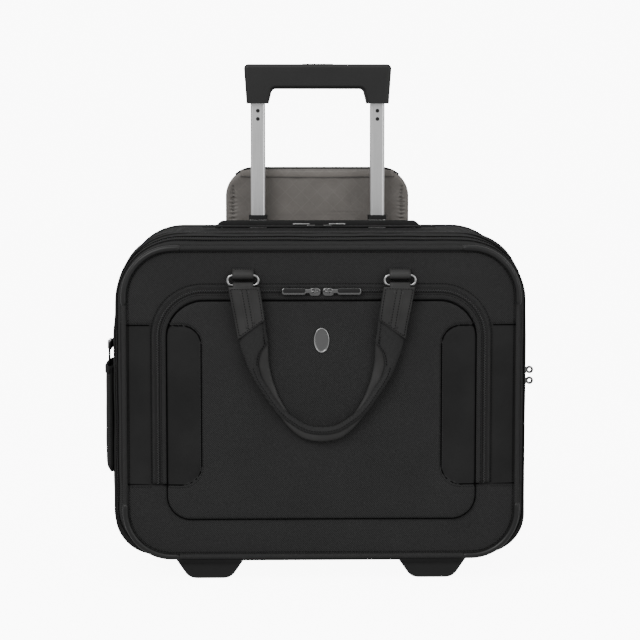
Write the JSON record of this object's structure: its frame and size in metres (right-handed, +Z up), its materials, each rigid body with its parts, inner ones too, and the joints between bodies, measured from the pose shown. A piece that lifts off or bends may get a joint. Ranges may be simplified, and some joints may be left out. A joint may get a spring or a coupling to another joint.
{
  "type": "rolling laptop case",
  "caption": "Soft-sided wheeled laptop case: drawn-out trolley handle, stow flap, front pocket, looped carry handle, feet and rear wheels.",
  "frame": {"origin": "on the floor, under the centre of the bounding box at rest", "axes": "+Z up, +X to the right seen from the front, the front panel faces -Y"},
  "size_m": [0.448, 0.224, 0.5375],
  "materials": {
    "fabric_body": "diagonal woven polyester",
    "fabric_smooth": "fine smooth weave",
    "fabric_lining": "smooth taupe lining with a faint lattice",
    "webbing_grip": "fine woven cover",
    "leather": "fine grained",
    "guard_plastic": "smooth satin",
    "moulded_plastic": "satin moulded",
    "grip_plastic": "satin moulded",
    "board": "matt board",
    "zip_chain": "nylon coil",
    "tube_metal": "satin anodised",
    "ring_metal": "polished",
    "puller_metal": "dark nickel",
    "steel": "bright",
    "badge_metal": "satin",
    "tyre": "matt"
  },
  "bodies": {
    "case": {"main_shell": "fabric_body", "base_tray": "moulded_plastic", "rear_board": "board", "laptop_sleeve": "fabric_lining", "wheel_axles": "steel", "wheel_bearings": "steel", "wheel_housings": "moulded_plastic", "front_feet": "moulded_plastic", "foot_screws": "steel", "tubes_fixed": "tube_metal", "tube_base_bracket": "moulded_plastic", "handle_well": "moulded_plastic", "well_lip": "fabric_smooth", "zipper_chains": "zip_chain", "side_pocket": "fabric_body", "lower_collars": "moulded_plastic"},
    "middle_stage": {"tube_middle_left": "tube_metal", "tube_middle_right": "tube_metal", "middle_collars": "moulded_plastic"},
    "top_stage": {"tube_inner_left": "tube_metal", "tube_inner_right": "tube_metal", "tube_rivets": "steel", "grip_cap": "grip_plastic", "grip_body": "grip_plastic"},
    "release": {"release_button": "moulded_plastic", "release_rods": "steel"},
    "plunger_left": {"lock_plunger_left": "steel"},
    "plunger_right": {"lock_plunger_right": "steel"},
    "wheel_left": {"wheel_hub_left": "moulded_plastic", "wheel_tyre_left": "tyre"},
    "wheel_right": {"wheel_hub_right": "moulded_plastic", "wheel_tyre_right": "tyre"},
    "front_section": {"front_shell": "fabric_body", "front_piping": "fabric_smooth", "corner_guards": "guard_plastic", "pocket_panel": "fabric_body", "pocket_zipper": "zip_chain", "ring_tabs": "leather", "badge": "badge_metal"},
    "rings": {"handle_rings": "ring_metal"},
    "carry_handle": {"handle_strap": "webbing_grip", "handle_ends": "leather"},
    "flap": {"flap_shell": "fabric_smooth", "flap_lining": "fabric_lining"},
    "lock_slide_upper": {"lock_slider_upper": "puller_metal"},
    "lock_slide_lower": {"lock_slider_lower": "puller_metal"},
    "lock_ring_upper": {"lock_pull_upper": "ring_metal"},
    "lock_ring_lower": {"lock_pull_lower": "ring_metal"},
    "side_slide": {"side_slider": "puller_metal"},
    "pocket_slide_left": {"pocket_slider_left": "puller_metal"},
    "pocket_slide_right": {"pocket_slider_right": "puller_metal"},
    "pocket_tab_left": {"pocket_puller_left": "puller_metal"},
    "pocket_tab_right": {"pocket_puller_right": "puller_metal"},
    "laptop_slide_left": {"laptop_slider_left": "puller_metal"},
    "laptop_slide_right": {"laptop_slider_right": "puller_metal"},
    "laptop_tab_left": {"laptop_pull_left": "ring_metal"},
    "laptop_tab_right": {"laptop_pull_right": "ring_metal"}
  },
  "joints": [
    {"name": "trolley_middle_slide", "type": "slide", "parent": "case", "child": "middle_stage", "axis": [0, 0, 1], "range_m": [-0.0535, 0.16]},
    {"name": "trolley_top_slide", "type": "slide", "parent": "middle_stage", "child": "top_stage", "axis": [0, 0, 1], "range_m": [-0.1225, 0.095]},
    {"name": "release_press", "type": "slide", "parent": "top_stage", "child": "release", "axis": [0, 0, -1], "range_m": [0, 0.004], "stiffness_N_per_m": 800, "springref_m": -0.003},
    {"name": "plunger_left_slide", "type": "slide", "parent": "top_stage", "child": "plunger_left", "axis": [1, 0, 0], "range_m": [0, 0.002]},
    {"name": "plunger_right_slide", "type": "slide", "parent": "top_stage", "child": "plunger_right", "axis": [-1, 0, 0], "range_m": [0, 0.002]},
    {"name": "wheel_left_spin", "type": "hinge", "parent": "case", "child": "wheel_left", "pos_m": [-0.114, 0.083, 0.029], "axis": [1, 0, 0], "continuous": true},
    {"name": "wheel_right_spin", "type": "hinge", "parent": "case", "child": "wheel_right", "pos_m": [0.114, 0.083, 0.029], "axis": [1, 0, 0], "continuous": true},
    {"name": "front_opening", "type": "hinge", "parent": "case", "child": "front_section", "pos_m": [0, -0.092, 0.02275], "axis": [1, 0, 0], "range_deg": [0, 80]},
    {"name": "rings_swing", "type": "hinge", "parent": "front_section", "child": "rings", "pos_m": [0, -0.104, 0.3175], "axis": [-1, 0, 0], "range_deg": [0, 150]},
    {"name": "handle_swing", "type": "hinge", "parent": "rings", "child": "carry_handle", "pos_m": [0, -0.104, 0.3075], "axis": [-1, 0, 0], "range_deg": [0, 25]},
    {"name": "flap_hinge", "type": "hinge", "parent": "case", "child": "flap", "pos_m": [0, 0.1115, 0.361], "axis": [-1, 0, 0], "range_deg": [0, 100]},
    {"name": "lock_upper_slide", "type": "slide", "parent": "case", "child": "lock_slide_upper", "axis": [0, 0, 1], "range_m": [0, 0.074]},
    {"name": "lock_lower_slide", "type": "slide", "parent": "case", "child": "lock_slide_lower", "axis": [0, 0, -1], "range_m": [0, 0.098]},
    {"name": "lock_ring_upper_turn", "type": "hinge", "parent": "lock_slide_upper", "child": "lock_ring_upper", "pos_m": [0.2142, -0.0506, 0.214], "axis": [0, 1, 0], "range_deg": [-40, 8]},
    {"name": "lock_ring_lower_turn", "type": "hinge", "parent": "lock_slide_lower", "child": "lock_ring_lower", "pos_m": [0.2142, -0.0506, 0.2026], "axis": [0, 1, 0], "range_deg": [-8, 40]},
    {"name": "side_zip_slide", "type": "slide", "parent": "case", "child": "side_slide", "axis": [0, 1, 0], "range_m": [-0.038, 0.038]},
    {"name": "pocket_zip_left_slide", "type": "slide", "parent": "front_section", "child": "pocket_slide_left", "axis": [-1, 0, 0], "range_m": [0, 0.025]},
    {"name": "pocket_zip_right_slide", "type": "slide", "parent": "front_section", "child": "pocket_slide_right", "axis": [1, 0, 0], "range_m": [0, 0.025]},
    {"name": "pocket_tab_left_turn", "type": "hinge", "parent": "pocket_slide_left", "child": "pocket_tab_left", "pos_m": [-0.009, -0.1024, 0.3015], "axis": [0, 0, 1], "range_deg": [0, 90]},
    {"name": "pocket_tab_right_turn", "type": "hinge", "parent": "pocket_slide_right", "child": "pocket_tab_right", "pos_m": [0.009, -0.1024, 0.3015], "axis": [0, 0, -1], "range_deg": [0, 90]},
    {"name": "laptop_zip_left_slide", "type": "slide", "parent": "case", "child": "laptop_slide_left", "axis": [-1, 0, 0], "range_m": [0, 0.105]},
    {"name": "laptop_zip_right_slide", "type": "slide", "parent": "case", "child": "laptop_slide_right", "axis": [1, 0, 0], "range_m": [0, 0.105]},
    {"name": "laptop_tab_left_turn", "type": "hinge", "parent": "laptop_slide_left", "child": "laptop_tab_left", "pos_m": [-0.009, 0.013, 0.3624], "axis": [0, 1, 0], "range_deg": [0, 90]},
    {"name": "laptop_tab_right_turn", "type": "hinge", "parent": "laptop_slide_right", "child": "laptop_tab_right", "pos_m": [0.009, 0.013, 0.3624], "axis": [0, -1, 0], "range_deg": [0, 90]}
  ],
  "couplings": [
    {"joint": "plunger_left_slide", "follows": "release_press", "ratio": 0.5},
    {"joint": "plunger_right_slide", "follows": "release_press", "ratio": 0.5}
  ]
}
